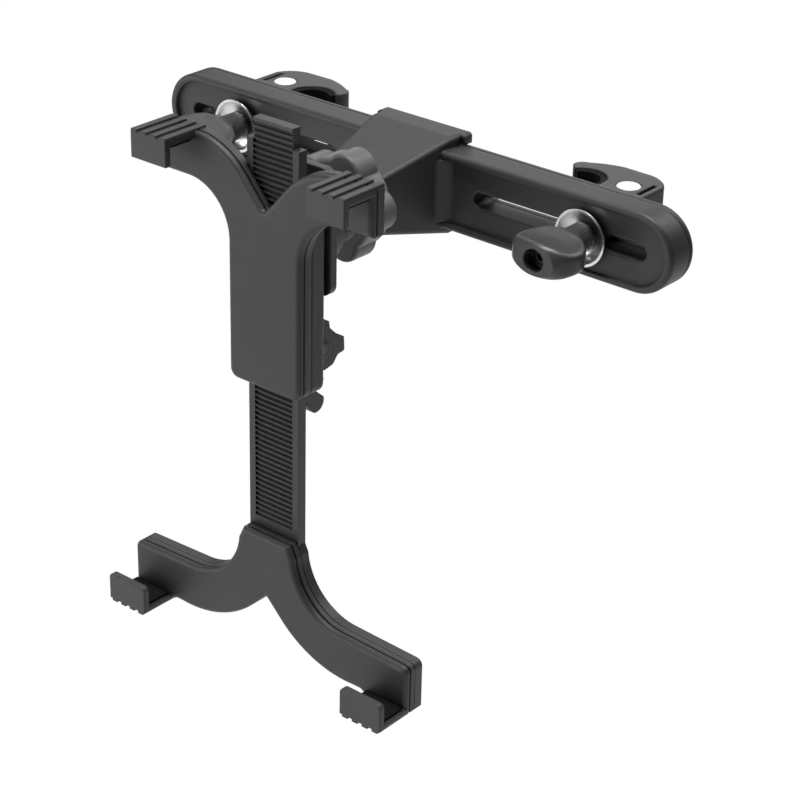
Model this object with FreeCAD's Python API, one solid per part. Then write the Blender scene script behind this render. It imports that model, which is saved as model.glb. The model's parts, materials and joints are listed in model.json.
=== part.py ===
import FreeCAD, Part
import math
import os
from FreeCAD import Vector as V

# Headrest tablet holder. Millimetres, +Z up, -Y towards the tablet.
# The origin is the middle of the crossbar's flat back face.

# Crossbar
BAR_HALF_LENGTH = 125.0
BAR_HALF_HEIGHT = 15.5
BAR_DEPTH = 14.6
BAR_EDGE_ROUND = 1.6
BACK_PLATE = 3.1
BAR_WALL = 2.5
RIM_END = 3.5
RECESS_DEPTH = 1.8
FLOOR_WALL = 2.2
SLOT_INNER = 34.0
SLOT_OUTER = 113.0
SLOT_HALF_HEIGHT = 3.3
SLOT_WALL = 2.0
BAR_SCREW_INNER_X = 27.5
BAR_SCREW_INNER_Z = 8.6
BAR_SCREW_END_INSET = 6.3
BAR_BOSS_RADIUS = 2.9

# Neck and the saddle lips that grip the bar
NECK_LENGTH = 28.0
SADDLE_HALF_WIDTH = 20.0
SADDLE_RISE = 4.2
SADDLE_FRONT = 6.2
LIP_HALF_WIDTH = 21.6
LIP_BEHIND = 2.4
LIP_FRONT = -3.6
LIP_CLEARANCE = 0.1
NECK_END_HALF_WIDTH = 14.4
NECK_END_HALF_HEIGHT = 11.7
NECK_CORNER = 1.6
FLARE = 4.0
FLARE_OVERLAP = 1.4
FLARE_INSET = 0.4
FLARE_DIP = 1.2
CORE_WALL = 3.0

# Ball joint
BALL_RADIUS = 10.0
BALL_FORWARD = 3.4
BALL_FIT = 0.06
SEAT_RADIUS = 14.2
SEAT_FIT = 0.06
BALL_ROOM = 0.6
THROAT_WALL = 1.7
SEAT_AHEAD = 3.6
SEAT_SLOTS = 6
SEAT_SLOT_WIDTH = 1.4
COLLAR_RADIUS = 16.4
COLLAR_LENGTH = 7.4
RING_FIT = 0.08
RING_DEPTH = 12.0
RING_BODY_RADIUS = 18.5
RING_EDGE_ROUND = 1.6
RING_LOBES = 5
RING_LOBE_RADIUS = 8.0
RING_LOBE_REACH = 22.2
RING_LOBE_ROUND = 1.5
RING_MOUTH = 13.6
RING_BACK_GAP = 0.3
STEM_RADIUS = 5.5
STEM_FIT = 0.05
STUD_SCREW_RADIUS = 2.0
STUD_HEAD_RADIUS = 4.4
STUD_FLANGE_RADIUS = 7.4
STUD_FLANGE_FRONT = 1.3
STUD_FLANGE_GAP = 0.1
STUD_HEAD_RISE = 3.6
STUD_SCREW_LENGTH = 8.0

# Cradle plate behind the housing
STEM_REACH = 21.6
BOSS_DEPTH = 5.5
BOSS_RADIUS = 18.4
BOSS_ROUND = 1.4
PLATE_THICK = 3.2
PLATE_HALF_WIDTH = 18.5
PLATE_HALF_HEIGHT = 25.0
PLATE_CORNER = 4.5
PLATE_GAP = 1.7
PLATE_SCREW_X = 12.5
PLATE_SCREW_Z = 20.5
PLATE_FOOT_RADIUS = 3.6
STUD_POCKET = 4.0

# Cradle housing and upper claws
HOUSING_HALF_WIDTH = 17.8
HOUSING_BOTTOM = -62.6
HOUSING_CORNER = 4.0
BACK_SHELL_TOP = 10.0
BACK_SHELL_DEPTH = 8.3
FRONT_SHELL_DEPTH = 6.6
EDGE_ROUND = 2.1
LINE_GROOVE = 0.8
LINE_GROOVE_WIDTH = 0.8
PARTING_CHAMFER = 0.4
FRONT_PLATE_THICK = 2.4
ARM_FILLET = 20.0
ARM_UNDERSIDE = 13.0
ARM_TOP = 31.2
CLAW_INNER = 33.9
CLAW_OUTER = 51.5
NOTCH_BOTTOM = 8.4
NOTCH_ARC = 31.0
NOTCH_ROOT = 1.5
TABLET_SPACE = 12.2
LIP_THICK = 2.5
CLAW_TOP_THICK = 2.4
CLAW_LIP_DROP = 10.1
RIB_PITCH = 4.9
RIB_WIDTH = 2.7
RIB_HEIGHT = 1.0
RIB_COUNT = 4
PAD_THICK = 1.2
PAD_MARGIN = 1.0

# Tongue under the back shell
TONGUE_HALF_WIDTH = 9.0
TONGUE_INSET = 3.2
TONGUE_THICK = 2.6
TONGUE_DROP = 13.6
TONGUE_BULGE = 3.6

# Strap with its rack
STRAP_HALF_WIDTH = 12.6
STRAP_THICK = 4.2
STRAP_PROUD = 1.0
STRAP_SHOULDER = 33.5
STRAP_TIP = 41.6
RACK_HALF_WIDTH = 9.6
TOOTH_PITCH = 2.2
TOOTH_DEPTH = 1.0
TOOTH_LAND = 0.35
RACK_TOP = 40.6
RACK_TEETH = 74
CHANNEL_GAP = 0.15

# Lower jaw
JAW_TOP = -126.3
JAW_TOP_HALF_WIDTH = 11.8
JAW_ARC_RADIUS = 25.8
JAW_ARC_X = 40.0
JAW_ARC_Z = -129.0
JAW_END = 72.2
JAW_END_TOP = -155.8
JAW_END_ROUND = 3.0
JAW_CROTCH = -153.0
JAW_BOTTOM = -174.8
JAW_COVER_PROUD = 0.2
JAW_PARTING = 0.3
JAW_ARC_START = 2.5
JAW_HOOK_STEP = 3.0
JAW_UNDER_X = 46.0
JAW_UNDER_BEND_X = 22.0
JAW_UNDER_BEND_RISE = 4.2
JAW_CROTCH_X = 8.0
JAW_CROTCH_DROP = 8.0
J_HOOK_WIDTH = 19.8
J_LIP_TOP = -164.7
J_FLOOR_TOP = -174.0
J_FLOOR_THICK = 2.4
J_LIP_THICK = 2.6
J_CORNER = 2.0

# Lock: pawl, lever and pin
PAWL_Z = -48.0
PAWL_HALF_HEIGHT = 4.4
PAWL_GAP = 0.3
PAWL_TRAVEL = 1.15
PAWL_BAR = 2.0
PAWL_BACK_BAR = 1.2
PAWL_SIDE = 2.0
PAWL_POCKET_GAP = 0.4
PAWL_TEETH = 3
TOOTH_CLEARANCE = 0.15
TAIL_HALF_WIDTH = 3.0
TAIL_HALF_HEIGHT = 2.6
TAIL_Z = -43.6
LEVER_HALF_WIDTH = 9.0
LEVER_PIN_RADIUS = 1.5
LEVER_PIN_Z = -50.1
LEVER_PIN_OUT = 6.6
LEVER_FINGER_RADIUS = 1.2
LEVER_SIDE_GAP = 0.3
EAR_THICK = 2.4
EAR_ROUND = 3.4
EAR_FOOT_HALF = 7.0
EAR_SINK = 2.0
LEVER_REACH = 20.9
LEVER_ROUND = 0.9

# Clamp hooks behind the bar
SCREW_X = 86.0
HOOK_HALF_HEIGHT = 11.6
HOOK_FACE = 3.4
NUT_Y = 13.7
NUT_RADIUS = 4.7
NUT_FIT = 0.05
POST_X = 67.7
POST_Y = 9.6
RECESS_RADIUS = 9.6
POST_GRIP_RADIUS = 7.1
HOOK_OUTER = 96.5
HOOK_CHAMFER = 0.5
HOOK_SLOT_INNER = 4.0
HOOK_SLOT_OUTER = 2.0
HOOK_SLOT_BEFORE = 5.0
HOOK_SLOT_BEHIND = 6.7
TONGUE_HALF_LENGTH = 5.5
TONGUE_GAP = 0.15
TONGUE_REACH = 11.0
SCREW_RADIUS = 2.5
SCREW_HOLE_GAP = 0.25
SCREW_THREAD_FIT = 0.06
SCREW_TIP_Y = 17.2

# Cup washers and knobs
CUP_BASE_RADIUS = 6.6
CUP_RIM_RADIUS = 11.1
CUP_DEPTH = 3.8
CUP_BOWL = 1.1
CUP_SHEET = 1.0
CUP_GAP = 0.1
CUP_BORE_GAP = 0.3
KNOB_FRONT = -44.7
KNOB_FACE_HALF_WIDTH = 9.8
KNOB_FACE_HALF_HEIGHT = 6.5
KNOB_FACE_ROUND = 1.3
KNOB_WING_HALF = 13.6
KNOB_WING_FRONT = -40.6
KNOB_WING_BACK = -20.2
KNOB_WING_CORNER = 4.0
KNOB_WING_HALF_HEIGHT = 4.8
KNOB_WING_ROUND = 1.3
KNOB_LIP = 1.9
KNOB_DISH = 0.5
KNOB_SHANK_RADIUS = 5.6
KNOB_OVERLAP = 4.0
KNOB_BACK_GAP = 0.3
SOCKET_RADIUS = 5.1
SOCKET_DEPTH = 5.0
HEAD_RADIUS = 3.4
HEAD_HEIGHT = 4.0
HEAD_GAP = 0.1
HEX_RADIUS = 2.0
HEX_DEPTH = 3.0
LEFT_KNOB_TURN = 12.0
RIGHT_KNOB_TURN = 3.0

# Small countersunk screws: shanks, heads, their holes and how far they go in
PLATE_SCREW_SHANK = 1.15
PLATE_SCREW_HEAD = 2.4
PLATE_SCREW_HOLE = 1.55
PLATE_SCREW_HOLE_HEAD = 2.9
PLATE_SCREW_PILOT = 1.2
PLATE_SCREW_LENGTH = 9.0
BAR_SCREW_LENGTH = 8.0
PLATE_SCREW_SINK = 0.3
HOUSING_SCREW_SHANK = 0.9
HOUSING_SCREW_HEAD = 1.8
HOUSING_SCREW_HOLE = 1.3
HOUSING_SCREW_HOLE_HEAD = 2.1
HOUSING_SCREW_PILOT = 0.95
HOUSING_SCREW_BITE = 3.4
HOUSING_SCREW_RISE = 5.0
HOUSING_SCREW_DROP = 13.0
HOUSING_SCREW_SINK = 0.2
JAW_SCREW_HEAD = 2.0
JAW_SCREW_HOLE_HEAD = 2.3
JAW_SCREW_BITE = 3.0
JAW_SCREW_INNER_X = 9.0
JAW_SCREW_INNER_DROP = 14.0
JAW_SCREW_OUTER_X = 40.0
JAW_SCREW_OUTER_RISE = 9.0
PILOT_BEYOND = 0.6
RECESS_SHARE = 1.3

# Levels along Y, worked out from the sizes above
bar_front = -BAR_DEPTH
floor_y = bar_front + RECESS_DEPTH
neck_end = bar_front - NECK_LENGTH
ball_y = neck_end - BALL_FORWARD
ring_front = neck_end - RING_DEPTH
boss_y = ball_y - STEM_REACH
plate_back = boss_y - BOSS_DEPTH
plate_front = plate_back - PLATE_THICK
housing_back = plate_front - PLATE_GAP
parting_y = housing_back - BACK_SHELL_DEPTH
face_y = parting_y - FRONT_SHELL_DEPTH
strap_front = parting_y - STRAP_PROUD
strap_back = strap_front + STRAP_THICK
claw_lip = face_y - TABLET_SPACE
jaw_face = face_y - JAW_COVER_PROUD
jaw_back = strap_back - 0.1
pin_y = housing_back + LEVER_PIN_OUT
finger_y = pin_y - 0.5
cup_back = floor_y - CUP_GAP


def box(x0, x1, y0, y1, z0, z1):
    return Part.makeBox(x1 - x0, y1 - y0, z1 - z0, V(x0, y0, z0))


def rod_y(radius, y0, y1, x=0.0, z=0.0):
    return Part.makeCylinder(radius, y1 - y0, V(x, y0, z), V(0, 1, 0))


def rod_x(radius, x0, x1, y, z):
    return Part.makeCylinder(radius, x1 - x0, V(x0, y, z), V(1, 0, 0))


def rod_z(radius, z0, z1, x, y):
    return Part.makeCylinder(radius, z1 - z0, V(x, y, z0), V(0, 0, 1))


def cone_y(radius0, radius1, y0, y1, x=0.0, z=0.0):
    return Part.makeCone(radius0, radius1, y1 - y0, V(x, y0, z), V(0, 1, 0))


def in_plane(plane, a, b, level):
    if plane == "XZ":
        return V(a, level, b)
    if plane == "XY":
        return V(a, b, level)
    return V(level, a, b)


def traced(plane, level, start, *steps):
    """Face traced from start by lines (point) and arcs ((middle, end))."""
    edges = []
    here = start
    for step in steps:
        if isinstance(step[0], tuple):
            middle, end = step
            ends = [in_plane(plane, p[0], p[1], level) for p in (here, middle, end)]
            edges.append(Part.Arc(*ends).toShape())
        else:
            end = step
            ends = [in_plane(plane, p[0], p[1], level) for p in (here, end)]
            edges.append(Part.LineSegment(*ends).toShape())
        here = end
    if here != start:
        ends = [in_plane(plane, p[0], p[1], level) for p in (here, start)]
        edges.append(Part.LineSegment(*ends).toShape())
    return Part.Face(Part.Wire(edges))


def rounded(plane, level, corners):
    """Face from corners (a, b, radius), each rounded by its own radius."""
    count = len(corners)
    tangents = []
    for i in range(count):
        a, b, radius = corners[i]
        here = V(a, b, 0)
        before = V(corners[i - 1][0], corners[i - 1][1], 0) - here
        after = V(corners[(i + 1) % count][0], corners[(i + 1) % count][1], 0) - here
        before.normalize()
        after.normalize()
        half = before.getAngle(after) / 2
        reach = radius / math.tan(half)
        middle = before + after
        middle.normalize()
        to_arc = radius / math.sin(half) - radius
        tangents.append((here + before * reach, here + middle * to_arc, here + after * reach, radius))
    edges = []
    for i in range(count):
        first, middle, last, radius = tangents[i]
        if radius > 0:
            ends = [in_plane(plane, p.x, p.y, level) for p in (first, middle, last)]
            edges.append(Part.Arc(*ends).toShape())
        following = tangents[(i + 1) % count][0]
        if (following - last).Length > 1e-6:
            ends = [in_plane(plane, p.x, p.y, level) for p in (last, following)]
            edges.append(Part.LineSegment(*ends).toShape())
    return Part.Face(Part.Wire(edges))


def block(half_width, half_height, corner, y0, y1, z=0.0):
    """Bar along Y with a rounded rectangular section."""
    face = rounded("XZ", y0, [
        (-half_width, z - half_height, corner), (half_width, z - half_height, corner),
        (half_width, z + half_height, corner), (-half_width, z + half_height, corner)])
    return face.extrude(V(0, y1 - y0, 0))


def stadium(half_length, half_height, y0, y1, x=0.0):
    """Bar along Y whose section has full round ends left and right."""
    straight = half_length - half_height
    face = traced(
        "XZ", y0, (x - straight, -half_height), (x + straight, -half_height),
        ((x + half_length, 0.0), (x + straight, half_height)),
        (x - straight, half_height),
        ((x - half_length, 0.0), (x - straight, -half_height)))
    return face.extrude(V(0, y1 - y0, 0))


def mirrored(shape):
    return shape.mirror(V(0, 0, 0), V(1, 0, 0))


def edges_at(shape, test):
    return [edge for edge in shape.Edges if test(edge)]


def lies_at_y(edge, y):
    return all(abs(v.Y - y) < 1e-6 for v in edge.Vertexes) and abs(edge.BoundBox.YLength) < 1e-6


def slot_cut(extra, y0, y1):
    """Both slots of the bar, widened all round by extra."""
    middle = (SLOT_INNER + SLOT_OUTER) / 2
    half = (SLOT_OUTER - SLOT_INNER) / 2 + extra
    one = stadium(half, SLOT_HALF_HEIGHT + extra, y0, y1, middle)
    return one.fuse(mirrored(one))


def bar_screw_places():
    end = BAR_HALF_LENGTH - BAR_SCREW_END_INSET
    places = [(side * end, 0.0) for side in (-1, 1)]
    for side in (-1, 1):
        for level in (-1, 1):
            places.append((side * BAR_SCREW_INNER_X, level * BAR_SCREW_INNER_Z))
    return places


def neck_section(half_width, half_height, y):
    """Outline of the neck at one distance along it."""
    return rounded("XZ", y, [
        (-half_width, -half_height, NECK_CORNER), (half_width, -half_height, NECK_CORNER),
        (half_width, half_height, NECK_CORNER), (-half_width, half_height, NECK_CORNER)]).OuterWire


def neck_solid():
    """Tapered neck with concave flares where it grows out of the bar."""
    top = BAR_HALF_HEIGHT + SADDLE_RISE
    start_y = bar_front + SADDLE_FRONT
    neck = Part.makeLoft([
        neck_section(SADDLE_HALF_WIDTH, top, start_y),
        neck_section(NECK_END_HALF_WIDTH, NECK_END_HALF_HEIGHT, neck_end)], True, True)
    foot = SADDLE_HALF_WIDTH + FLARE
    tip_y = floor_y - FLARE
    bend = FLARE * (1 - math.cos(math.radians(45)))
    inner = SADDLE_HALF_WIDTH - FLARE_OVERLAP
    half_height = BAR_HALF_HEIGHT - BAR_WALL - FLARE_INSET
    flare = traced(
        "XY", -half_height, (-foot, floor_y + 0.5), (-foot, floor_y),
        ((-foot + FLARE - bend, floor_y - bend * FLARE_DIP), (-inner, tip_y)),
        (inner, tip_y),
        ((foot - FLARE + bend, floor_y - bend * FLARE_DIP), (foot, floor_y)),
        (foot, floor_y + 0.5))
    return neck.fuse(flare.extrude(V(0, 0, 2 * half_height)))


def saddle():
    """Block round the bar whose two lips hold the back plate's edges."""
    top = BAR_HALF_HEIGHT + SADDLE_RISE
    body = block(LIP_HALF_WIDTH, top, NECK_CORNER, LIP_FRONT, LIP_BEHIND)
    rims = edges_at(body, lambda e: lies_at_y(e, LIP_BEHIND))
    body = body.makeFillet(NECK_CORNER * 0.9, rims)
    body = body.fuse(block(SADDLE_HALF_WIDTH, top, NECK_CORNER, bar_front + SADDLE_FRONT, LIP_FRONT + 0.5))
    inside = BAR_HALF_HEIGHT + LIP_CLEARANCE
    pocket = box(-LIP_HALF_WIDTH - 1, LIP_HALF_WIDTH + 1, -BACK_PLATE, LIP_BEHIND + 1, -inside, inside)
    return body.cut(pocket)


def crossbar_front_shell():
    shell = stadium(BAR_HALF_LENGTH, BAR_HALF_HEIGHT, bar_front, -BACK_PLATE)
    shell = shell.makeFillet(BAR_EDGE_ROUND, edges_at(shell, lambda e: lies_at_y(e, bar_front)))
    shell = shell.makeChamfer(PARTING_CHAMFER, edges_at(shell, lambda e: lies_at_y(e, -BACK_PLATE)))
    recess = stadium(BAR_HALF_LENGTH - RIM_END, BAR_HALF_HEIGHT - BAR_WALL, bar_front - 1, floor_y)
    shell = shell.cut(recess)
    shell = shell.fuse([saddle(), neck_solid()])
    hollow = stadium(BAR_HALF_LENGTH - BAR_WALL, BAR_HALF_HEIGHT - BAR_WALL, floor_y + FLOOR_WALL, 1.0)
    keep = [slot_cut(SLOT_WALL, floor_y, -BACK_PLATE)]
    for x, z in bar_screw_places():
        keep.append(rod_y(BAR_BOSS_RADIUS, floor_y, -BACK_PLATE, x, z))
    for x in (-SADDLE_HALF_WIDTH, SADDLE_HALF_WIDTH):
        keep.append(box(x - BAR_WALL / 2, x + BAR_WALL / 2, floor_y, -BACK_PLATE,
                        -BAR_HALF_HEIGHT + BAR_WALL, BAR_HALF_HEIGHT - BAR_WALL))
    hollow = hollow.cut(keep[0].fuse(keep[1:]))
    core_end = ball_y + BALL_RADIUS + BALL_ROOM + CORE_WALL
    core = Part.makeLoft([
        neck_section(SADDLE_HALF_WIDTH - CORE_WALL, BAR_HALF_HEIGHT - CORE_WALL, -BACK_PLATE + 1),
        neck_section(NECK_END_HALF_WIDTH - CORE_WALL, NECK_END_HALF_HEIGHT - CORE_WALL, core_end)], True, True)
    collar = rod_y(COLLAR_RADIUS, neck_end - COLLAR_LENGTH, neck_end)
    shell = shell.fuse(collar)
    bore = rod_y(SEAT_RADIUS + SEAT_FIT, neck_end - COLLAR_LENGTH - 1, neck_end)
    throat = rod_y(NECK_END_HALF_HEIGHT - THROAT_WALL, neck_end - 1, ball_y + BALL_RADIUS + BALL_ROOM)
    cuts = [hollow, core, bore, throat, slot_cut(0.0, bar_front - 1, 1.0)]
    for x, z in bar_screw_places():
        cuts.append(rod_y(PLATE_SCREW_PILOT, floor_y + FLOOR_WALL, 0.0, x, z))
    return shell.cut(cuts).removeSplitter()


def crossbar_back_plate():
    plate = stadium(BAR_HALF_LENGTH, BAR_HALF_HEIGHT, -BACK_PLATE, 0.0)
    plate = plate.makeFillet(BAR_EDGE_ROUND, edges_at(plate, lambda e: lies_at_y(e, 0.0)))
    plate = plate.makeChamfer(PARTING_CHAMFER, edges_at(plate, lambda e: lies_at_y(e, -BACK_PLATE)))
    plate = plate.cut(slot_cut(0.0, -BACK_PLATE - 1, 1.0))
    for x, z in bar_screw_places():
        plate = plate.cut(screw_shape(
            x, 0.0, z, 1, PLATE_SCREW_HOLE, PLATE_SCREW_HOLE_HEAD, BACK_PLATE + 1, 0.0))
    return plate.removeSplitter()


def screw_shape(x, y, z, outward, shank, head, length, drop):
    """Countersunk screw along Y whose head faces outward (1 or -1)."""
    depth = head - shank
    top = y - outward * drop
    low = top - outward * depth
    tip = top - outward * length
    first, second = (tip, low) if outward > 0 else (low, tip)
    body = rod_y(shank, first, second, x, z)
    if outward > 0:
        return body.fuse(cone_y(shank, head, low, top, x, z))
    return body.fuse(cone_y(head, shank, top, low, x, z))


def cross_recess(x, y, z, outward, size):
    """Cross driver recess cut into a screw head."""
    depth = size * 0.55
    y0, y1 = (y - depth, y + 0.5) if outward > 0 else (y - 0.5, y + depth)
    across = box(x - size / 2, x + size / 2, y0, y1, z - size / 8, z + size / 8)
    upright = box(x - size / 8, x + size / 8, y0, y1, z - size / 2, z + size / 2)
    return across.fuse(upright)


def screw_group(places, y, outward, shank, head, length, drop):
    """One group of separate, equal countersunk screws."""
    screws = []
    for x, z in places:
        screw = screw_shape(x, y, z, outward, shank, head, length, drop)
        screws.append(screw.cut(cross_recess(x, y - outward * drop, z, outward, head * RECESS_SHARE)))
    return Part.makeCompound(screws)


def crossbar_screws():
    return screw_group(bar_screw_places(), 0.0, 1, PLATE_SCREW_SHANK, PLATE_SCREW_HEAD,
                       BAR_SCREW_LENGTH, PLATE_SCREW_SINK)


def lobed_ring_nut():
    """Ring nut that squeezes the ball seat, with grip lobes round it."""
    ring = rod_y(RING_BODY_RADIUS, ring_front, neck_end)
    ring = ring.makeFillet(RING_EDGE_ROUND, edges_at(ring, lambda e: lies_at_y(e, ring_front)))
    lobes = []
    for i in range(RING_LOBES):
        angle = 2 * math.pi * i / RING_LOBES
        centre = RING_LOBE_REACH - RING_LOBE_RADIUS
        lobe = rod_y(RING_LOBE_RADIUS, ring_front, neck_end, centre * math.cos(angle), centre * math.sin(angle))
        lobes.append(lobe.makeFillet(RING_LOBE_ROUND, edges_at(
            lobe, lambda e: lies_at_y(e, ring_front) or lies_at_y(e, neck_end))))
    ring = ring.fuse(lobes)
    thread_end = neck_end - COLLAR_LENGTH - RING_BACK_GAP
    bore = rod_y(COLLAR_RADIUS + RING_FIT, thread_end, neck_end + 1)
    sphere_gap = math.sqrt((BALL_RADIUS + 0.4) ** 2 - (ball_y - thread_end) ** 2)
    mouth = cone_y(RING_MOUTH, sphere_gap, ring_front - 0.01, thread_end + 0.01)
    return ring.cut([bore, mouth]).removeSplitter()


def ball_seat_ring():
    """Split plastic seat round the ball; its slots let it close on it."""
    front = ball_y - SEAT_AHEAD
    back = neck_end - RING_BACK_GAP
    pocket = BALL_RADIUS + BALL_FIT
    profile = traced(
        "YZ", 0.0, (front, math.sqrt(pocket ** 2 - SEAT_AHEAD ** 2)), (front, SEAT_RADIUS),
        (back, SEAT_RADIUS),
        (back, math.sqrt(pocket ** 2 - (back - ball_y) ** 2)),
        ((ball_y, pocket), (front, math.sqrt(pocket ** 2 - SEAT_AHEAD ** 2))))
    seat = profile.revolve(V(0, 0, 0), V(0, 1, 0), 360)
    for i in range(SEAT_SLOTS):
        slit = box(BALL_RADIUS / 2, SEAT_RADIUS + 1, ball_y - SEAT_AHEAD - 1, ball_y + 2.0,
                   -SEAT_SLOT_WIDTH / 2, SEAT_SLOT_WIDTH / 2)
        slit.rotate(V(0, 0, 0), V(0, 1, 0), 360.0 * i / SEAT_SLOTS)
        seat = seat.cut(slit)
    return seat.removeSplitter()


def ball_stud():
    ball = Part.makeSphere(BALL_RADIUS, V(0, ball_y, 0))
    end = plate_front + STUD_POCKET + 0.1
    stem = rod_y(STEM_RADIUS, end, ball_y)
    thread = rod_y(STUD_SCREW_RADIUS + 0.05, end - 1, end + 9.0)
    return ball.fuse(stem).cut(thread).removeSplitter()


def stud_screw():
    """Flanged screw that keeps the plate on the stud and lets it turn."""
    seat = plate_front + STUD_POCKET
    top = seat - STUD_HEAD_RISE
    flange = rod_y(STUD_FLANGE_RADIUS, seat - STUD_FLANGE_FRONT, seat - STUD_FLANGE_GAP)
    head = rod_y(STUD_HEAD_RADIUS, top, seat - 1.0)
    shank = rod_y(STUD_SCREW_RADIUS, seat - 0.2, seat + STUD_SCREW_LENGTH)
    recess = cross_recess(0.0, top, 0.0, -1, STUD_HEAD_RADIUS)
    return flange.fuse([head, shank]).cut(recess).removeSplitter()


def plate_screw_places():
    return [(a * PLATE_SCREW_X, b * PLATE_SCREW_Z) for a in (-1, 1) for b in (-1, 1)]


def cradle_plate():
    plate = block(PLATE_HALF_WIDTH, PLATE_HALF_HEIGHT, PLATE_CORNER, plate_front, plate_back)
    boss = rod_y(BOSS_RADIUS, plate_back - 1, boss_y)
    boss = boss.makeFillet(BOSS_ROUND, edges_at(boss, lambda e: lies_at_y(e, boss_y)))
    plate = plate.fuse(boss)
    pocket = rod_y(STUD_FLANGE_RADIUS + 0.4, plate_front - 1, plate_front + STUD_POCKET)
    bore = rod_y(STEM_RADIUS + STEM_FIT, plate_front - 1, boss_y + 1)
    plate = plate.cut([pocket, bore])
    for x, z in plate_screw_places():
        plate = plate.cut(screw_shape(
            x, plate_back, z, 1, PLATE_SCREW_HOLE, PLATE_SCREW_HOLE_HEAD, PLATE_THICK + 1, 0.0))
    return plate.removeSplitter()


def plate_screws():
    return screw_group(plate_screw_places(), plate_back, 1, PLATE_SCREW_SHANK, PLATE_SCREW_HEAD,
                       PLATE_SCREW_LENGTH, PLATE_SCREW_SINK)


def notch_points(sign):
    """Tangent points of the V notch: end of its root and start of the arc."""
    centre_x = CLAW_INNER
    centre_z = ARM_TOP - NOTCH_ARC
    away = math.hypot(centre_x, centre_z - NOTCH_BOTTOM)
    lean = math.atan2(centre_z - NOTCH_BOTTOM, centre_x) + math.asin(NOTCH_ARC / away)
    run = math.sqrt(away ** 2 - NOTCH_ARC ** 2)
    root = NOTCH_ROOT * math.tan(lean)
    first = (sign * root * math.cos(lean), NOTCH_BOTTOM + root * math.sin(lean))
    last = (sign * run * math.cos(lean), NOTCH_BOTTOM + run * math.sin(lean))
    halfway = (lean + math.pi) / 2
    middle = (sign * (centre_x + NOTCH_ARC * math.cos(halfway)), centre_z + NOTCH_ARC * math.sin(halfway))
    bottom = (0.0, NOTCH_BOTTOM + NOTCH_ROOT / math.cos(lean) - NOTCH_ROOT)
    return first, last, middle, bottom


def half_y_outline(sign):
    """Points of the upper Y, from the notch's root out to one claw and down."""
    side = HOUSING_HALF_WIDTH
    arc_end = side + ARM_FILLET
    bend = ARM_FILLET * (1 - math.cos(math.radians(45)))
    first, last, middle, bottom = notch_points(sign)
    return [
        first,
        last,
        (middle, (sign * CLAW_INNER, ARM_TOP)),
        (sign * CLAW_OUTER, ARM_TOP),
        (sign * CLAW_OUTER, ARM_UNDERSIDE),
        (sign * arc_end, ARM_UNDERSIDE),
        ((sign * (side + bend), ARM_UNDERSIDE - bend), (sign * side, ARM_UNDERSIDE - ARM_FILLET))]


def reverse_path(start, steps):
    """The same path walked the other way; returns its start and steps."""
    nodes = [start]
    middles = []
    for step in steps:
        arc = isinstance(step[0], tuple)
        middles.append(step[0] if arc else None)
        nodes.append(step[1] if arc else step)
    back = []
    for i in range(len(middles) - 1, -1, -1):
        back.append(nodes[i] if middles[i] is None else (middles[i], nodes[i]))
    return nodes[-1], back


def upper_y_face(y):
    right = half_y_outline(1)
    left_root = notch_points(-1)[0]
    start, left = reverse_path(left_root, half_y_outline(-1)[1:])
    corner = HOUSING_CORNER
    bend = corner * (1 - math.cos(math.radians(45)))
    side = HOUSING_HALF_WIDTH
    low = HOUSING_BOTTOM
    bottom = [
        (side, low + corner),
        ((side - bend, low + bend), (side - corner, low)),
        (-side + corner, low),
        ((-side + bend, low + bend), (-side, low + corner)),
        start]
    root = [(notch_points(1)[3], right[0])]
    return traced("XZ", y, left_root, *(root + right[1:] + bottom + left))


def layered(face_at, y_front, y_back, plate_thick, rounding):
    """Plate with a rounded front edge and a shadow line behind it."""
    body = face_at(y_front).extrude(V(0, y_back - y_front, 0))
    body = body.makeFillet(rounding, edges_at(body, lambda e: lies_at_y(e, y_front)))
    level = face_at(y_front + plate_thick)
    ring = level.makeOffset2D(1.0).cut(level.makeOffset2D(-LINE_GROOVE))
    return body.cut(ring.extrude(V(0, LINE_GROOVE_WIDTH, 0)))


def ribs(x_middle, y0, y1, z0, z1):
    """Grip ribs side by side, running along Y."""
    group = []
    for i in range(RIB_COUNT):
        x = x_middle + (i - (RIB_COUNT - 1) / 2) * RIB_PITCH
        group.append(box(x - RIB_WIDTH / 2, x + RIB_WIDTH / 2, y0, y1, z0, z1))
    return group


def upper_claw():
    """Right upper claw: ribbed top and lip, open below and at its ends."""
    lip_back = claw_lip
    lip_front = lip_back - LIP_THICK
    top = box(CLAW_INNER, CLAW_OUTER, lip_front, face_y + 2.0, ARM_TOP - CLAW_TOP_THICK, ARM_TOP)
    lip = box(CLAW_INNER, CLAW_OUTER, lip_front, lip_back, ARM_TOP - CLAW_LIP_DROP, ARM_TOP)
    middle = (CLAW_INNER + CLAW_OUTER) / 2
    claw = top.fuse(lip)
    rows = ribs(middle, lip_front, parting_y, ARM_TOP - 0.5, ARM_TOP + RIB_HEIGHT)
    return claw.fuse(rows)


def strap_channel(y0, y1, z0, z1):
    half = STRAP_HALF_WIDTH + CHANNEL_GAP
    return box(-half, half, y0, y1, z0, z1)


def pawl_pocket(y0, y1):
    """Room in both shells for the pawl frame round the strap."""
    half = STRAP_HALF_WIDTH + PAWL_GAP + PAWL_SIDE + PAWL_POCKET_GAP
    high = PAWL_HALF_HEIGHT + PAWL_POCKET_GAP
    return box(-half, half, y0, y1, PAWL_Z - high, PAWL_Z + high)


def shell_screw_places():
    x = (STRAP_HALF_WIDTH + HOUSING_HALF_WIDTH) / 2
    levels = (HOUSING_BOTTOM + HOUSING_SCREW_RISE, BACK_SHELL_TOP - HOUSING_SCREW_DROP)
    return [(a * x, z) for a in (-1, 1) for z in levels]


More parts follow.
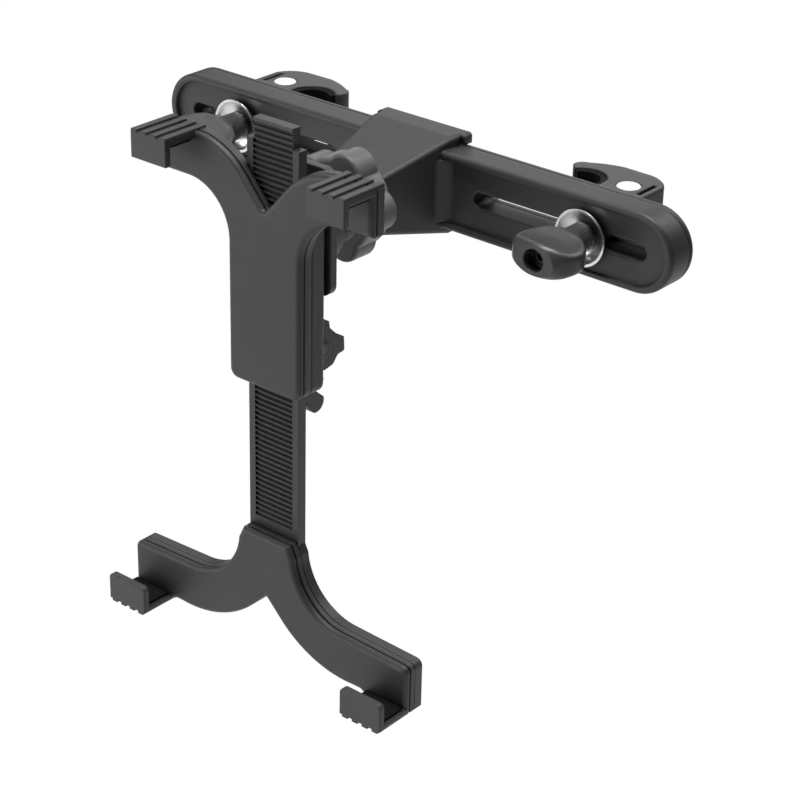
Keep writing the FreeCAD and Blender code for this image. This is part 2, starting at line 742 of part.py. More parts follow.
def cradle_front_shell():
    shell = layered(upper_y_face, face_y, parting_y, FRONT_PLATE_THICK, EDGE_ROUND)
    claw = upper_claw()
    shell = shell.fuse([claw, mirrored(claw)])
    cuts = [
        strap_channel(strap_front - CHANNEL_GAP, parting_y + 1, HOUSING_BOTTOM - 1, ARM_TOP),
        pawl_pocket(pawl_front() - PAWL_POCKET_GAP, parting_y + 1)]
    for x, z in shell_screw_places():
        cuts.append(rod_y(
            HOUSING_SCREW_PILOT, parting_y - HOUSING_SCREW_BITE - PILOT_BEYOND, parting_y + 1, x, z))
    return shell.cut(cuts).removeSplitter()


def pawl_front():
    """Front of the pawl's tooth bar while the strap is free."""
    return strap_front - PAWL_GAP - TOOTH_DEPTH - PAWL_BAR


def back_shell_block():
    corner = HOUSING_CORNER
    side = HOUSING_HALF_WIDTH
    face = rounded("XZ", parting_y, [
        (-side, HOUSING_BOTTOM, corner), (side, HOUSING_BOTTOM, corner),
        (side, BACK_SHELL_TOP, corner), (-side, BACK_SHELL_TOP, corner)])
    body = face.extrude(V(0, housing_back - parting_y, 0))
    body = body.makeFillet(EDGE_ROUND, edges_at(body, lambda e: lies_at_y(e, housing_back)))
    return body.makeChamfer(LINE_GROOVE, edges_at(body, lambda e: lies_at_y(e, parting_y)))


def lever_ear(x0, x1):
    """One ear of the back shell that holds the lever's pin."""
    face = traced(
        "YZ", x0, (housing_back - EAR_SINK, LEVER_PIN_Z - EAR_FOOT_HALF), (pin_y, LEVER_PIN_Z - EAR_ROUND),
        ((pin_y + EAR_ROUND, LEVER_PIN_Z), (pin_y, LEVER_PIN_Z + EAR_ROUND)),
        (housing_back - EAR_SINK, LEVER_PIN_Z + EAR_FOOT_HALF))
    ear = face.extrude(V(x1 - x0, 0, 0))
    return ear.cut(rod_x(LEVER_PIN_RADIUS, x0 - 1, x1 + 1, pin_y, LEVER_PIN_Z))


def guide_tongue():
    """Rounded tongue under the back shell that steadies the strap."""
    top = HOUSING_BOTTOM + 3.0
    back = housing_back - TONGUE_INSET
    face = traced(
        "YZ", -TONGUE_HALF_WIDTH, (back, top), (back, HOUSING_BOTTOM),
        ((back + TONGUE_BULGE * 0.8, HOUSING_BOTTOM - TONGUE_DROP * 0.62),
         (back + TONGUE_BULGE * 1.9, HOUSING_BOTTOM - TONGUE_DROP)),
        ((back + TONGUE_BULGE * 3.2, HOUSING_BOTTOM - TONGUE_DROP * 0.9),
         (back + TONGUE_BULGE * 3.4, HOUSING_BOTTOM - TONGUE_DROP * 0.62)),
        ((back + TONGUE_BULGE * 2.0, HOUSING_BOTTOM - TONGUE_DROP * 0.3),
         (back + TONGUE_THICK, HOUSING_BOTTOM)),
        (back + TONGUE_THICK, top))
    return face.extrude(V(2 * TONGUE_HALF_WIDTH, 0, 0))


def cradle_back_shell():
    shell = back_shell_block()
    inner = LEVER_HALF_WIDTH + LEVER_SIDE_GAP
    ear = lever_ear(inner, inner + EAR_THICK)
    shell = shell.fuse([ear, mirrored(ear), guide_tongue()])
    feet = [rod_y(PLATE_FOOT_RADIUS, housing_back - 1, plate_front, x, z)
            for x, z in plate_screw_places() if z < BACK_SHELL_TOP]
    shell = shell.fuse(feet)
    window_high = TAIL_Z + TAIL_HALF_HEIGHT + PAWL_POCKET_GAP
    window_low = TAIL_Z - TAIL_HALF_HEIGHT - PAWL_POCKET_GAP
    window_half = TAIL_HALF_WIDTH + PAWL_POCKET_GAP
    cuts = [
        strap_channel(parting_y - 1, strap_back + CHANNEL_GAP, HOUSING_BOTTOM - 20, BACK_SHELL_TOP + 1),
        pawl_pocket(parting_y - 1, pawl_back() + PAWL_TRAVEL + 0.25),
        box(-window_half, window_half, parting_y, housing_back + 2, window_low, window_high)]
    for x, z in shell_screw_places():
        cuts.append(screw_shape(
            x, housing_back, z, 1, HOUSING_SCREW_HOLE, HOUSING_SCREW_HOLE_HEAD, BACK_SHELL_DEPTH + 1, 0.0))
    for x, z in plate_screw_places():
        cuts.append(rod_y(PLATE_SCREW_PILOT, plate_back - PLATE_SCREW_LENGTH - 1.0, plate_front + 1, x, z))
    return shell.cut(cuts).removeSplitter()


def shell_screws():
    return screw_group(shell_screw_places(), housing_back, 1, HOUSING_SCREW_SHANK, HOUSING_SCREW_HEAD,
                       BACK_SHELL_DEPTH + HOUSING_SCREW_BITE, HOUSING_SCREW_SINK)


def rack_profile(z_top, teeth, y_face, depth, land):
    """Saw outline in (y, z) down a row of teeth whose valleys lie behind the face."""
    points = []
    for i in range(teeth):
        z = z_top - i * TOOTH_PITCH
        valley = y_face + depth
        points.append((y_face, z))
        points.append((y_face, z - land))
        points.append((valley, z - TOOTH_PITCH / 2))
        points.append((valley, z - TOOTH_PITCH / 2 - land))
    points.append((y_face, z_top - teeth * TOOTH_PITCH))
    return points


def strap_body():
    """Toothed strap: a shouldered bar with a rack sunk into its front."""
    half = STRAP_HALF_WIDTH
    wide = box(-half, half, strap_front, strap_back, JAW_CROTCH + 10, STRAP_SHOULDER)
    tip = box(-RACK_HALF_WIDTH, RACK_HALF_WIDTH, strap_front, strap_back, STRAP_SHOULDER - 1, STRAP_TIP)
    points = rack_profile(RACK_TOP, RACK_TEETH, strap_front, TOOTH_DEPTH, TOOTH_LAND)
    edge = [(strap_front - 1, RACK_TOP - RACK_TEETH * TOOTH_PITCH), (strap_front - 1, RACK_TOP)]
    grooves = traced("YZ", -RACK_HALF_WIDTH, points[0], *(points[1:] + edge))
    grooves = grooves.extrude(V(2 * RACK_HALF_WIDTH, 0, 0))
    return wide.fuse(tip).cut(grooves)


def lower_y_face(y):
    """Outline of the lower jaw, the same in its cover and back layer."""
    start_z = JAW_ARC_Z - JAW_ARC_START
    start_x = JAW_ARC_X - math.sqrt(JAW_ARC_RADIUS ** 2 - (start_z - JAW_ARC_Z) ** 2)
    bend = JAW_ARC_RADIUS * math.cos(math.radians(45))
    arm_top = JAW_ARC_Z - JAW_ARC_RADIUS
    corner = JAW_END_ROUND
    low = J_FLOOR_TOP - J_FLOOR_THICK
    half = [
        (JAW_TOP_HALF_WIDTH, JAW_TOP),
        (start_x, start_z),
        ((JAW_ARC_X - bend, JAW_ARC_Z - bend), (JAW_ARC_X, arm_top)),
        (JAW_END - corner, JAW_END_TOP),
        ((JAW_END - corner * 0.25, JAW_END_TOP - corner * 0.3), (JAW_END, JAW_END_TOP - corner)),
        (JAW_END, low),
        (JAW_END - J_HOOK_WIDTH, low),
        (JAW_END - J_HOOK_WIDTH - JAW_HOOK_STEP, JAW_BOTTOM),
        (JAW_UNDER_X, JAW_BOTTOM),
        ((JAW_UNDER_BEND_X, JAW_BOTTOM + JAW_UNDER_BEND_RISE), (JAW_CROTCH_X, JAW_CROTCH - JAW_CROTCH_DROP)),
        (0.0, JAW_CROTCH)]
    other = []
    for step in half:
        if isinstance(step[0], tuple):
            other.append(((-step[0][0], step[0][1]), (-step[1][0], step[1][1])))
        else:
            other.append((-step[0], step[1]))
    start, back = reverse_path((0.0, JAW_TOP), other)
    return traced("XZ", y, (0.0, JAW_TOP), *(half + back))


def jaw_screw_places():
    inner = [(a * JAW_SCREW_INNER_X, JAW_TOP - JAW_SCREW_INNER_DROP) for a in (-1, 1)]
    outer = [(a * JAW_SCREW_OUTER_X, JAW_BOTTOM + JAW_SCREW_OUTER_RISE) for a in (-1, 1)]
    return inner + outer


def sliding_strap():
    layer = lower_y_face(strap_front).extrude(V(0, jaw_back - strap_front, 0))
    strap = strap_body().fuse(layer)
    for x, z in jaw_screw_places():
        strap = strap.cut(screw_shape(
            x, jaw_back, z, 1, HOUSING_SCREW_HOLE, JAW_SCREW_HOLE_HEAD, STRAP_THICK + 1, 0.0))
    return strap.removeSplitter()


def j_hook():
    """Right lower hook: floor, lip and grip ribs under the floor."""
    inner = JAW_END - J_HOOK_WIDTH
    lip_back = claw_lip - JAW_COVER_PROUD
    lip_front = lip_back - J_LIP_THICK
    low = J_FLOOR_TOP - J_FLOOR_THICK
    floor = box(inner, JAW_END, lip_front, jaw_face + 2, low, J_FLOOR_TOP)
    lip_face = rounded("XZ", lip_front, [
        (inner, low, J_CORNER), (JAW_END, low, J_CORNER),
        (JAW_END, J_LIP_TOP, J_CORNER), (inner, J_LIP_TOP, J_CORNER)])
    lip = lip_face.extrude(V(0, J_LIP_THICK, 0))
    rows = ribs((inner + JAW_END) / 2, lip_front, jaw_face + 4.0, low - RIB_HEIGHT, low + 0.5)
    return floor.fuse([lip] + rows)


def jaw_cover():
    back = strap_front - JAW_PARTING
    cover = layered(lower_y_face, jaw_face, back, FRONT_PLATE_THICK, EDGE_ROUND)
    hook = j_hook()
    cover = cover.fuse([hook, mirrored(hook)])
    for x, z in jaw_screw_places():
        cover = cover.cut(rod_y(HOUSING_SCREW_PILOT, back - JAW_SCREW_BITE - PILOT_BEYOND, back + 1, x, z))
    return cover.removeSplitter()


def jaw_cover_screws():
    return screw_group(jaw_screw_places(), jaw_back, 1, HOUSING_SCREW_SHANK, JAW_SCREW_HEAD,
                       STRAP_THICK + JAW_SCREW_BITE, HOUSING_SCREW_SINK)


def upper_pad():
    """Rubber pad under the top of the right upper claw."""
    return box(CLAW_INNER + PAD_MARGIN, CLAW_OUTER - PAD_MARGIN, claw_lip + 0.4, face_y - 0.4,
               ARM_TOP - CLAW_TOP_THICK - PAD_THICK, ARM_TOP - CLAW_TOP_THICK)


def lower_pad():
    """Rubber pad on the floor of the right lower hook."""
    inner = JAW_END - J_HOOK_WIDTH
    lip_back = claw_lip - JAW_COVER_PROUD
    return box(inner + PAD_MARGIN, JAW_END - PAD_MARGIN, lip_back + 0.4, jaw_face - 0.4,
               J_FLOOR_TOP, J_FLOOR_TOP + PAD_THICK)


def pawl_back():
    return strap_back + CHANNEL_GAP + 0.1 + PAWL_BACK_BAR


def lock_pawl():
    """Frame round the strap: toothed bar in front, tail to the lever."""
    inner = STRAP_HALF_WIDTH + PAWL_GAP
    outer = inner + PAWL_SIDE
    front = pawl_front()
    back = pawl_back()
    low = PAWL_Z - PAWL_HALF_HEIGHT
    high = PAWL_Z + PAWL_HALF_HEIGHT
    frame = box(-outer, outer, front, back, low, high)
    hole = box(-inner, inner, front + PAWL_BAR, back - PAWL_BACK_BAR, low - 1, high + 1)
    frame = frame.cut(hole)
    first = math.ceil((RACK_TOP - high) / TOOTH_PITCH + 0.3)
    for i in range(PAWL_TEETH):
        middle = RACK_TOP - (first + i) * TOOTH_PITCH - TOOTH_PITCH / 2 - TOOTH_LAND / 2
        root = front + PAWL_BAR
        tip = root + TOOTH_DEPTH
        half_tip = TOOTH_LAND / 2 - 0.05
        half_root = TOOTH_PITCH / 2 - TOOTH_LAND / 2 - TOOTH_CLEARANCE
        tooth = traced(
            "YZ", -RACK_HALF_WIDTH + 0.3, (root - 0.2, middle - half_root), (root, middle - half_root),
            (tip, middle - half_tip), (tip, middle + half_tip), (root, middle + half_root),
            (root - 0.2, middle + half_root))
        frame = frame.fuse(tooth.extrude(V(2 * RACK_HALF_WIDTH - 0.6, 0, 0)))
    tail = box(-TAIL_HALF_WIDTH, TAIL_HALF_WIDTH, back - PAWL_BACK_BAR, finger_y + 2.6,
               TAIL_Z - TAIL_HALF_HEIGHT, TAIL_Z + TAIL_HALF_HEIGHT)
    reach = LEVER_FINGER_RADIUS + 0.06
    slot = box(-TAIL_HALF_WIDTH - 1, TAIL_HALF_WIDTH + 1, finger_y - reach, finger_y + reach,
               TAIL_Z - 1.7, TAIL_Z + 1.7)
    return frame.fuse(tail).cut(slot).removeSplitter()


def release_lever():
    """Thumb lever on the housing's back; its finger moves the pawl."""
    y = housing_back
    face = traced(
        "YZ", -LEVER_HALF_WIDTH, (pin_y - 3.4, LEVER_PIN_Z - 9.0), (pin_y - 3.4, TAIL_Z + 3.6),
        (y + 9.5, TAIL_Z + 4.4), (y + 11.8, TAIL_Z + 3.2), (y + 12.4, TAIL_Z + 0.1),
        (y + 15.8, TAIL_Z - 3.2), (y + 20.5, TAIL_Z - 6.1), (y + LEVER_REACH, TAIL_Z - 12.1),
        (y + 17.1, TAIL_Z - 12.5), (y + 14.3, TAIL_Z - 15.7), (y + 9.7, TAIL_Z - 16.6))
    lever = face.extrude(V(2 * LEVER_HALF_WIDTH, 0, 0))
    outer = edges_at(lever, lambda e: e.BoundBox.XLength > LEVER_HALF_WIDTH and e.CenterOfMass.y > y + 15.0)
    lever = lever.makeFillet(LEVER_ROUND, outer)
    room = TAIL_HALF_WIDTH + LEVER_SIDE_GAP
    slot = box(-room, room, y - 1, finger_y + 4.0, TAIL_Z - TAIL_HALF_HEIGHT - 0.9, TAIL_Z + 10)
    bore = rod_x(LEVER_PIN_RADIUS + STEM_FIT, -LEVER_HALF_WIDTH - 1, LEVER_HALF_WIDTH + 1, pin_y, LEVER_PIN_Z)
    finger = rod_x(LEVER_FINGER_RADIUS, -room - 0.5, room + 0.5, finger_y, TAIL_Z)
    return lever.cut([slot, bore]).fuse(finger).removeSplitter()


def lever_pin():
    end = LEVER_HALF_WIDTH + LEVER_SIDE_GAP + EAR_THICK
    return rod_x(LEVER_PIN_RADIUS, -end, end, pin_y, LEVER_PIN_Z)


def clamp_hook():
    """Right hook that goes round a headrest post behind the bar."""
    start = math.radians(-50)
    tip = math.radians(141)
    across = math.radians(60)
    first = (POST_X + RECESS_RADIUS * math.cos(start), POST_Y + RECESS_RADIUS * math.sin(start))
    middle = (POST_X + RECESS_RADIUS * math.cos(across), POST_Y + RECESS_RADIUS * math.sin(across))
    last = (POST_X + RECESS_RADIUS * math.cos(tip), POST_Y + RECESS_RADIUS * math.sin(tip))
    face = traced(
        "XY", -HOOK_HALF_HEIGHT, (HOOK_OUTER, HOOK_FACE), (HOOK_OUTER, NUT_Y + 7.7),
        ((93.0, NUT_Y + 12.3), (85.3, NUT_Y + 15.2)),
        (73.8, NUT_Y + 15.4),
        ((66.0, NUT_Y + 13.0), (59.8, NUT_Y + 9.4)),
        ((57.4, NUT_Y + 5.4), last),
        (middle, (POST_X + RECESS_RADIUS, POST_Y)),
        (first[0] + 3.4, HOOK_FACE))
    hook = face.extrude(V(0, 0, 2 * HOOK_HALF_HEIGHT))
    rims = edges_at(hook, lambda e: e.BoundBox.ZLength < 1e-6 and e.Length > 8.0
                    and e.CenterOfMass.y > NUT_Y + 7.0)
    hook = hook.makeChamfer(HOOK_CHAMFER, rims)
    half = TONGUE_HALF_LENGTH
    high = SLOT_HALF_HEIGHT - TONGUE_GAP
    tongue = box(SCREW_X - half, SCREW_X + half, HOOK_FACE - TONGUE_REACH, HOOK_FACE + 1, -high, high)
    hook = hook.fuse(tongue)
    cuts = [
        rod_z(NUT_RADIUS + NUT_FIT, -HOOK_HALF_HEIGHT - 1, HOOK_HALF_HEIGHT + 1, SCREW_X, NUT_Y),
        rod_y(SCREW_RADIUS + SCREW_HOLE_GAP, HOOK_FACE - TONGUE_REACH - 1, SCREW_TIP_Y + 5.0, SCREW_X),
        box(HOOK_OUTER - HOOK_SLOT_INNER, HOOK_OUTER - HOOK_SLOT_OUTER, NUT_Y - HOOK_SLOT_BEFORE,
            NUT_Y + HOOK_SLOT_BEHIND, -HOOK_HALF_HEIGHT - 1, HOOK_HALF_HEIGHT + 1)]
    return hook.cut(cuts).removeSplitter()


def hook_liner():
    """Rubber liner bonded into the recess of the right hook."""
    ring = rod_z(RECESS_RADIUS - 0.02, -HOOK_HALF_HEIGHT + 0.6, HOOK_HALF_HEIGHT - 0.6, POST_X, POST_Y)
    hole = rod_z(POST_GRIP_RADIUS, -HOOK_HALF_HEIGHT, HOOK_HALF_HEIGHT, POST_X, POST_Y)
    size = 3 * RECESS_RADIUS
    start = math.radians(-20)
    tip = math.radians(139)
    rays = [(POST_X + size * math.cos(a), POST_Y + size * math.sin(a))
            for a in (start, math.radians(50), math.radians(95), tip)]
    sector = traced("XY", -HOOK_HALF_HEIGHT, (POST_X, POST_Y), *rays).extrude(V(0, 0, 2 * HOOK_HALF_HEIGHT))
    return ring.cut(hole).common(sector)


def barrel_nut():
    nut = rod_z(NUT_RADIUS, -HOOK_HALF_HEIGHT - 0.1, HOOK_HALF_HEIGHT + 0.1, SCREW_X, NUT_Y)
    nut = nut.makeChamfer(0.4, edges_at(nut, lambda e: e.BoundBox.ZLength < 1e-6))
    return nut.cut(rod_y(SCREW_RADIUS + SCREW_THREAD_FIT, 0.0, SCREW_TIP_Y + 9.0, SCREW_X))


def cup_washer():
    """Pressed metal cup between the knob and the slot."""
    back = cup_back
    front = back - CUP_DEPTH
    bore = SCREW_RADIUS + CUP_BORE_GAP
    middle_y = (back + front) / 2
    middle_r = (CUP_BASE_RADIUS + CUP_RIM_RADIUS) / 2 + CUP_BOWL
    profile = traced(
        "YZ", 0.0, (back, bore), (back, CUP_BASE_RADIUS),
        ((middle_y, middle_r), (front, CUP_RIM_RADIUS)),
        (front, CUP_RIM_RADIUS - CUP_SHEET),
        ((middle_y - CUP_SHEET / 2, middle_r - CUP_SHEET), (back - CUP_SHEET, CUP_BASE_RADIUS - CUP_SHEET)),
        (back - CUP_SHEET, bore))
    cup = profile.revolve(V(0, 0, 0), V(0, 1, 0), 360)
    cup.translate(V(SCREW_X, 0, 0))
    return cup


def knob_outline(inset, level):
    """D-shaped outline of the knob's wing, flat in front and round behind."""
    half = KNOB_WING_HALF - inset
    front = KNOB_WING_FRONT + inset
    back = KNOB_WING_BACK - inset
    corner = KNOB_WING_CORNER
    bend = corner * (1 - math.cos(math.radians(45)))
    return traced(
        "XY", level, (-half + corner, front), (half - corner, front),
        ((half - bend, front + bend), (half, front + corner)),
        ((0.0, back), (-half, front + corner)),
        ((-half + bend, front + bend), (-half + corner, front)))


def wing_knob(turn):
    """Knob with an oval face, a wing dished above and below, and a socket for the screw's head."""
    high = KNOB_WING_HALF_HEIGHT
    wing = knob_outline(0.0, -high).extrude(V(0, 0, 2 * high))
    wing = wing.makeFillet(KNOB_WING_ROUND, edges_at(wing, lambda e: e.BoundBox.ZLength < 1e-6))
    oval = Part.Ellipse(V(0, 0, 0), KNOB_FACE_HALF_WIDTH, KNOB_FACE_HALF_HEIGHT).toShape()
    oval.rotate(V(0, 0, 0), V(1, 0, 0), 90)
    oval.translate(V(0, KNOB_FRONT, 0))
    hub_depth = KNOB_WING_FRONT + KNOB_LIP + KNOB_OVERLAP - KNOB_FRONT
    hub = Part.Face(Part.Wire(oval)).extrude(V(0, hub_depth, 0))
    hub = hub.makeFillet(KNOB_FACE_ROUND, edges_at(hub, lambda e: lies_at_y(e, KNOB_FRONT)))
    shank_end = cup_back - CUP_SHEET - KNOB_BACK_GAP
    shank = rod_y(KNOB_SHANK_RADIUS, KNOB_WING_BACK - KNOB_OVERLAP, shank_end)
    knob = hub.fuse([wing, shank])
    dish = knob_outline(KNOB_LIP, high - KNOB_DISH).extrude(V(0, 0, high))
    cuts = [
        dish, dish.mirror(V(0, 0, 0), V(0, 0, 1)),
        rod_y(SOCKET_RADIUS, KNOB_FRONT - 1, KNOB_FRONT + SOCKET_DEPTH),
        rod_y(HEAD_RADIUS + HEAD_GAP, KNOB_FRONT, KNOB_FRONT + SOCKET_DEPTH + HEAD_HEIGHT),
        rod_y(SCREW_RADIUS + SCREW_THREAD_FIT, KNOB_FRONT, shank_end + 1)]
    knob = knob.cut(cuts).removeSplitter()
    knob.rotate(V(0, 0, 0), V(0, 1, 0), turn)
    return knob


def clamp_screw():
    """Long socket screw from the knob to the barrel nut."""
    head_front = KNOB_FRONT + SOCKET_DEPTH
    head = rod_y(HEAD_RADIUS, head_front, head_front + HEAD_HEIGHT)
    shank = rod_y(SCREW_RADIUS, head_front, SCREW_TIP_Y)
    corners = []
    for i in range(7):
        angle = math.radians(60 * i)
        corners.append(V(HEX_RADIUS * math.cos(angle), head_front - 1, HEX_RADIUS * math.sin(angle)))
    hexagon = Part.Face(Part.makePolygon(corners)).extrude(V(0, HEX_DEPTH + 1, 0))
    return head.fuse(shank).cut(hexagon).removeSplitter()


def placed(shape, x):
    shape.translate(V(x, 0, 0))
    return shape


def export(name, shape):
    solids = shape.Solids
    if len(solids) == 1:
        shape = solids[0]
    shape.exportStep(os.path.join("parts", name + ".step"))
    state = "valid" if shape.isValid() else "INVALID"
    print(name, len(solids), "solids", round(shape.Volume), "mm3", state)


def main():
    os.makedirs("parts", exist_ok=True)
    export("crossbar_front_shell", crossbar_front_shell())
    export("crossbar_back_plate", crossbar_back_plate())
    export("crossbar_screws", crossbar_screws())
    for side in ("right", "left"):
        flip = (lambda s: s) if side == "right" else mirrored
        place = SCREW_X if side == "right" else -SCREW_X
        turn = RIGHT_KNOB_TURN if side == "right" else LEFT_KNOB_TURN
        export("clamp_hook_" + side, flip(clamp_hook()))
        export("hook_liner_" + side, flip(hook_liner()))
        export("barrel_nut_" + side, flip(barrel_nut()))
        export("cup_washer_" + side, flip(cup_washer()))
        export("wing_knob_" + side, placed(wing_knob(turn), place))
        export("clamp_screw_" + side, placed(clamp_screw(), place))
        export("upper_pad_" + side, flip(upper_pad()))
        export("lower_pad_" + side, flip(lower_pad()))
    export("lobed_ring_nut", lobed_ring_nut())
    export("ball_seat_ring", ball_seat_ring())
    export("ball_stud", ball_stud())
    export("stud_screw", stud_screw())
    export("cradle_plate", cradle_plate())
    export("plate_screws", plate_screws())
    export("cradle_front_shell", cradle_front_shell())
    export("cradle_back_shell", cradle_back_shell())
    export("shell_screws", shell_screws())
    export("sliding_strap", sliding_strap())
    export("jaw_cover", jaw_cover())
    export("jaw_cover_screws", jaw_cover_screws())
    export("lock_pawl", lock_pawl())
    export("release_lever", release_lever())
    export("lever_pin", lever_pin())


main()
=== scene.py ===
import json
import math

import bpy
from mathutils import Matrix, Vector

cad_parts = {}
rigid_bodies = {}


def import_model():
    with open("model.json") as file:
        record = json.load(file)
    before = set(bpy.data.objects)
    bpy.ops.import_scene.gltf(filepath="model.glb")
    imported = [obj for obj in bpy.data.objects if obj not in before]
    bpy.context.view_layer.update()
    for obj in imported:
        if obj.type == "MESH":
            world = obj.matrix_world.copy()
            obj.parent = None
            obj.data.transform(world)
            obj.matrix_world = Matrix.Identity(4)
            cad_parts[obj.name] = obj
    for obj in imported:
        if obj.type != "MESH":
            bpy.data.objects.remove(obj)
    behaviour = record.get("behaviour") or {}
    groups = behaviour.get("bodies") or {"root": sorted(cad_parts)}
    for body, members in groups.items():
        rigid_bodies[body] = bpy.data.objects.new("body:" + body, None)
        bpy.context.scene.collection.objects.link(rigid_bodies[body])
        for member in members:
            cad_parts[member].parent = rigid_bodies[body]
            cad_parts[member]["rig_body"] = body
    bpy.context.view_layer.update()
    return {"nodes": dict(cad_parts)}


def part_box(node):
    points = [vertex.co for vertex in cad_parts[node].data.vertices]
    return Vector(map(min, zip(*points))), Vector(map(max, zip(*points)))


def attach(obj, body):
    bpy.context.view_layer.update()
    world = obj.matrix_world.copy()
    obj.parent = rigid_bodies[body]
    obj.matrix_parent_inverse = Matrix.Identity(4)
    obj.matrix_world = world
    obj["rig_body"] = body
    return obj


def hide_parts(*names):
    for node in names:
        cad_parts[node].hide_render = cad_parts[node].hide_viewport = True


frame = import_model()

# Camera, solved from the straight edges in the photo
CAMERA_AZIMUTH = 39.09
CAMERA_ELEVATION = 26.92
CAMERA_ROLL = 1.43
CAMERA_DISTANCE = 0.87053
CAMERA_TARGET = Vector((0.02674, -0.0446, -0.07577))
SENSOR = 36.0
LENS = 101.74

# Greys of the photo, as linear values
PLASTIC_GREY = 0.035
RING_GREY = 0.12
RUBBER_GREY = 0.004
STEEL_GREY = 0.78
DARK_STEEL_GREY = 0.09
ZINC_GREY = 0.92
FLOOR_GREY = 0.86

# Moulded plastic: gloss, spark texture, flow marks, sharp edges lightened as rubbed wear and painted
# highlight, and painted shade darkening the creases
PLASTIC_ROUGHNESS = 0.46
BALL_ROUGHNESS = 0.25
GRAIN_SCALE = 2600.0
GRAIN_HEIGHT = 0.00004
FLOW_SCALE = 38.0
# Extra lightness on sharp edges, partly rubbed wear and partly a painted highlight
EDGE_WEAR_AND_HIGHLIGHT_SHARE = 0.45
# Painted shade in creases: reach, darkest colour factor and samples of the occlusion that darkens the
# plastic
PAINTED_CREASE_SHADE_REACH = 0.003
PAINTED_CREASE_SHADE_DARKEST = 0.08
PAINTED_CREASE_SHADE_SAMPLES = 6
BEVEL_SAMPLES = 6

# Radius, in metres, to which light softens the edges of each moulding
BAR_EDGE = 0.0018
CRADLE_EDGE = 0.0012
KNOB_EDGE = 0.0011
RING_EDGE = 0.0008
PLAIN_EDGE = 0.0005
FINE_EDGE = 0.0003

# Metal and rubber
STEEL_ROUGHNESS = 0.28
ZINC_ROUGHNESS = 0.42
DARK_STEEL_ROUGHNESS = 0.34
MARK_HEIGHT = 0.00002
PEBBLE_SCALE = 1400.0
PEBBLE_HEIGHT = 0.00006
RUBBER_SPECULAR = 0.2

# Studio light, fitted to the greys of the photo: name, azimuth, elevation and watts
SKY_STRENGTH = 0.03
SOFTBOX_DISTANCE = 1.5
SOFTBOX_SIZE = 0.75
SOFTBOX_TARGET = Vector((0.0, -0.04, -0.06))
SOFTBOXES = (
    ("overhead", 0.0, 88.0, 25.2),
    ("front_left", -25.0, 8.0, 7.4),
    ("side_left", -65.0, 8.0, 4.6),
    ("back_right", 165.0, 42.0, 5.8),
    ("back_left", -130.0, 42.0, 2.0),
    ("back_low", -150.0, 8.0, 2.7),
)
FLOOR_HALF = 3.0
FLOOR_LEVEL = -0.42

# Wing knob, in millimetres: half widths of the wing at distances behind the face
KNOB_WIDTHS = ((0.0, 8.9), (0.5, 9.4), (1.2, 10.0), (2.2, 10.9), (4.0, 12.3), (7.0, 13.6), (10.0, 13.9),
               (12.5, 13.6), (15.0, 12.3), (17.0, 10.3), (18.5, 8.3), (19.6, 6.7), (20.6, 5.9))
# Share of the full height at distances behind the face
KNOB_RISE = ((0.0, 0.84), (0.4, 0.91), (1.2, 0.97), (2.2, 1.0), (14.0, 1.0), (18.0, 0.97), (20.6, 0.86))
KNOB_STATIONS = (0.0, 0.2, 0.5, 0.9, 1.4, 1.8, 2.1, 2.4, 2.8, 3.3, 4.0, 5.0, 6.2, 7.6, 9.0, 10.5, 12.0, 13.5,
                 15.0, 16.2, 17.0, 17.6, 18.0, 18.4, 19.0, 19.8, 20.6)
KNOB_SIDES = 88
KNOB_HALF_HEIGHT = 6.6
KNOB_LENS_HALF_WIDTH = 19.5
KNOB_FACE_SQUARENESS = 2.2
KNOB_WING_SQUARENESS = 5.5
KNOB_DISH_CENTRE = 10.0
KNOB_DISH_HALF_LENGTH = 7.9
KNOB_DISH_HALF_WIDTH = 13.6
KNOB_DISH_DIP = 0.25
KNOB_SHANK = 5.6
KNOB_SHANK_BEVEL = 0.3
KNOB_SHANK_STATIONS = (21.4, 22.4)
KNOB_HOLE = 4.3
KNOB_HOLE_BEVEL = 0.2
KNOB_SOCKET_DEPTH = 5.0
KNOB_HEAD_DEPTH = 9.0
KNOB_HEAD_RADIUS = 3.5
KNOB_BORE_RADIUS = 2.56
KNOB_CREASE_ANGLE = 38.0
LEFT_KNOB_TURN = 12.0
RIGHT_KNOB_TURN = 3.0

nodes = frame["nodes"]


def new_material(name):
    """Empty material with its node tree and its shader."""
    material = bpy.data.materials.new(name)
    material.use_nodes = True
    shader = material.node_tree.nodes["Principled BSDF"]
    return material, material.node_tree, shader


def link(tree, source, output, target, socket):
    tree.links.new(source.outputs[output], target.inputs[socket])


def object_coords(tree):
    return tree.nodes.new("ShaderNodeTexCoord")


def noise(tree, coords, scale, detail=4.0, roughness=0.55):
    """Noise fixed to the object, so that it moves with it."""
    texture = tree.nodes.new("ShaderNodeTexNoise")
    texture.inputs["Scale"].default_value = scale
    texture.inputs["Detail"].default_value = detail
    texture.inputs["Roughness"].default_value = roughness
    link(tree, coords, "Object", texture, "Vector")
    return texture


def ramp(tree, source, low, high, low_value, high_value):
    """Straight map of a value from one range to another."""
    node = tree.nodes.new("ShaderNodeMapRange")
    node.inputs["From Min"].default_value = low
    node.inputs["From Max"].default_value = high
    node.inputs["To Min"].default_value = low_value
    node.inputs["To Max"].default_value = high_value
    tree.links.new(source, node.inputs["Value"])
    return node


def math_node(tree, operation, first, second):
    node = tree.nodes.new("ShaderNodeMath")
    node.operation = operation
    tree.links.new(first, node.inputs[0])
    tree.links.new(second, node.inputs[1])
    return node


def grey_colour(tree, value_output, target):
    combine = tree.nodes.new("ShaderNodeCombineColor")
    for channel in ("Red", "Green", "Blue"):
        tree.links.new(value_output, combine.inputs[channel])
    link(tree, combine, "Color", target, "Base Color")


